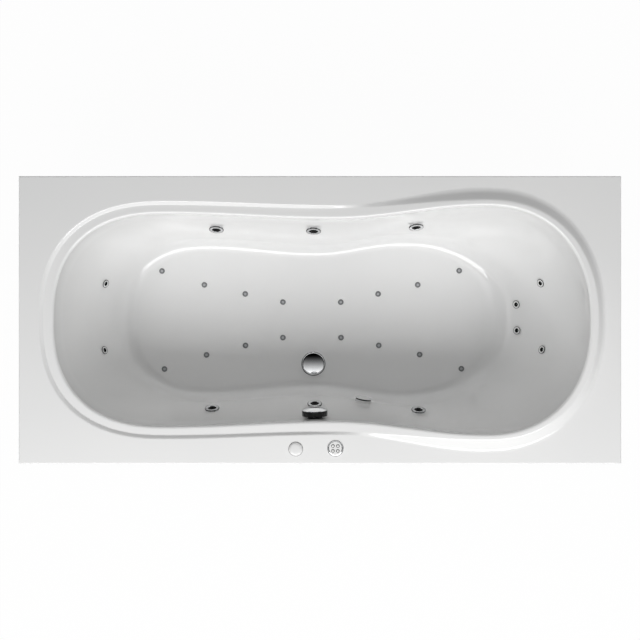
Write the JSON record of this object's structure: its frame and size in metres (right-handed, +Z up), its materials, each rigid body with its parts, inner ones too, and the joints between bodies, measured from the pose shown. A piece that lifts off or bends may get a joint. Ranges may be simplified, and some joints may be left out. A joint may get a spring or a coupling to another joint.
{
  "type": "jetted bathtub",
  "caption": "Two-ended acrylic bathtub with a flat rectangular rim, water jets, floor air injectors, a pull-cable waste and a pump and blower on a steel cradle",
  "frame": {"origin": "on the ground, under the middle of the rim", "axes": "+X along the tub towards the end with the raised collar, -Y towards the rim with the controls, +Z up"},
  "size_m": [1.7, 0.812, 0.6124],
  "materials": {
    "acrylic": "gloss",
    "batten_wood": "matte",
    "black_plastic": "satin",
    "box_grey": "satin",
    "button_grey": "satin",
    "chrome": "polished",
    "foot_rubber": "matte",
    "frame_steel": "satin",
    "impeller_plastic": "satin",
    "injector_grey": "gloss",
    "motor_paint": "satin",
    "nozzle_grey": "satin",
    "pipe_grey": "satin",
    "white_plastic": "gloss",
    "zinc_steel": "satin"
  },
  "bodies": {
    "tub": {"air_channels": "pipe_grey", "air_control_body": "black_plastic", "air_injectors": "injector_grey", "air_line": "pipe_grey", "blower_housing": "black_plastic", "blower_lid": "black_plastic", "blower_pipe": "pipe_grey", "cable_conduits": "black_plastic", "cable_glands": "black_plastic", "control_box": "box_grey", "cradle_rails": "frame_steel", "cradle_uprights": "frame_steel", "end_jet_bodies": "pipe_grey", "end_jet_faces": "chrome", "floor_battens": "batten_wood", "jet_branches": "pipe_grey", "keypad_bezel": "chrome", "keypad_face": "white_plastic", "keypad_housing": "black_plastic", "machine_trays": "frame_steel", "overflow_housing": "black_plastic", "overflow_pipe": "pipe_grey", "plug_cable": "black_plastic", "pressure_main": "pipe_grey", "pump_motor": "motor_paint", "pump_riser": "pipe_grey", "pump_volute": "black_plastic", "side_jet_bodies": "pipe_grey", "side_jet_rings": "chrome", "suction_body": "white_plastic", "suction_cover": "white_plastic", "suction_pipe": "pipe_grey", "tub_shell": "acrylic", "waste_body": "black_plastic", "waste_flange": "chrome", "waste_trap": "pipe_grey", "weld_nuts": "zinc_steel"},
    "nozzle_1": {"side_jet_nozzle_1": "nozzle_grey"},
    "nozzle_2": {"side_jet_nozzle_2": "nozzle_grey"},
    "nozzle_3": {"side_jet_nozzle_3": "nozzle_grey"},
    "nozzle_4": {"side_jet_nozzle_4": "nozzle_grey"},
    "nozzle_5": {"side_jet_nozzle_5": "nozzle_grey"},
    "nozzle_6": {"side_jet_nozzle_6": "nozzle_grey"},
    "grip": {"overflow_grip": "chrome"},
    "plug": {"waste_plug": "chrome"},
    "knob": {"air_knob": "white_plastic"},
    "button_1": {"keypad_button_1": "button_grey"},
    "button_2": {"keypad_button_2": "button_grey"},
    "button_3": {"keypad_button_3": "button_grey"},
    "button_4": {"keypad_button_4": "button_grey"},
    "foot_1": {"foot_pad_1": "foot_rubber", "foot_rod_1": "zinc_steel"},
    "foot_2": {"foot_pad_2": "foot_rubber", "foot_rod_2": "zinc_steel"},
    "foot_3": {"foot_pad_3": "foot_rubber", "foot_rod_3": "zinc_steel"},
    "foot_4": {"foot_pad_4": "foot_rubber", "foot_rod_4": "zinc_steel"},
    "impeller": {"pump_impeller": "impeller_plastic"},
    "fan": {"blower_fan": "impeller_plastic"}
  },
  "joints": [
    {"name": "nozzle_tilt_1", "type": "hinge", "parent": "tub", "child": "nozzle_1", "pos_m": [-0.31209, 0.27701, 0.35023], "axis": [0.999, -0.0437, 0], "range_deg": [-15, 15]},
    {"name": "nozzle_tilt_2", "type": "hinge", "parent": "tub", "child": "nozzle_2", "pos_m": [-0.01904, 0.26866, 0.40521], "axis": [0.9998, -0.0191, 0], "range_deg": [-15, 15]},
    {"name": "nozzle_tilt_3", "type": "hinge", "parent": "tub", "child": "nozzle_3", "pos_m": [0.29218, 0.28667, 0.3152], "axis": [0.9961, 0.0883, 0], "range_deg": [-15, 15]},
    {"name": "nozzle_tilt_4", "type": "hinge", "parent": "tub", "child": "nozzle_4", "pos_m": [-0.32807, -0.27356, 0.31423], "axis": [-0.9993, -0.0365, 0], "range_deg": [-15, 15]},
    {"name": "nozzle_tilt_5", "type": "hinge", "parent": "tub", "child": "nozzle_5", "pos_m": [-0.01603, -0.25866, 0.32826], "axis": [-0.9999, -0.0136, 0], "range_deg": [-15, 15]},
    {"name": "nozzle_tilt_6", "type": "hinge", "parent": "tub", "child": "nozzle_6", "pos_m": [0.3031, -0.2818, 0.27027], "axis": [-0.9988, 0.0496, 0], "range_deg": [-15, 15]},
    {"name": "grip_turn", "type": "hinge", "parent": "tub", "child": "grip", "pos_m": [-0.015, -0.28084, 0.51], "axis": [-0.0195, 0.9975, 0.0683], "range_deg": [0, 90]},
    {"name": "plug_lift", "type": "slide", "parent": "tub", "child": "plug", "axis": [0, 0, 1], "range_m": [0, 0.01]},
    {"name": "knob_turn", "type": "hinge", "parent": "tub", "child": "knob", "pos_m": [-0.0685, -0.364, 0.59], "axis": [0, 0, 1], "range_deg": [0, 180]},
    {"name": "button_press_1", "type": "slide", "parent": "tub", "child": "button_1", "axis": [0, 0, -1], "range_m": [0, 0.001], "stiffness_N_per_m": 400},
    {"name": "button_press_2", "type": "slide", "parent": "tub", "child": "button_2", "axis": [0, 0, -1], "range_m": [0, 0.001], "stiffness_N_per_m": 400},
    {"name": "button_press_3", "type": "slide", "parent": "tub", "child": "button_3", "axis": [0, 0, -1], "range_m": [0, 0.001], "stiffness_N_per_m": 400},
    {"name": "button_press_4", "type": "slide", "parent": "tub", "child": "button_4", "axis": [0, 0, -1], "range_m": [0, 0.001], "stiffness_N_per_m": 400},
    {"name": "foot_screw_1", "type": "slide", "parent": "tub", "child": "foot_1", "axis": [0, 0, -1], "range_m": [0, 0.02]},
    {"name": "foot_screw_2", "type": "slide", "parent": "tub", "child": "foot_2", "axis": [0, 0, -1], "range_m": [0, 0.02]},
    {"name": "foot_screw_3", "type": "slide", "parent": "tub", "child": "foot_3", "axis": [0, 0, -1], "range_m": [0, 0.02]},
    {"name": "foot_screw_4", "type": "slide", "parent": "tub", "child": "foot_4", "axis": [0, 0, -1], "range_m": [0, 0.02]},
    {"name": "impeller_spin", "type": "hinge", "parent": "tub", "child": "impeller", "pos_m": [0.738, -0.135, 0.196], "axis": [0, 1, 0], "continuous": true},
    {"name": "fan_spin", "type": "hinge", "parent": "tub", "child": "fan", "pos_m": [-0.745, -0.165, 0.2], "axis": [0, 0, 1], "continuous": true}
  ],
  "couplings": [
    {"joint": "plug_lift", "follows": "grip_turn", "m_per_rad": 0.006366}
  ]
}
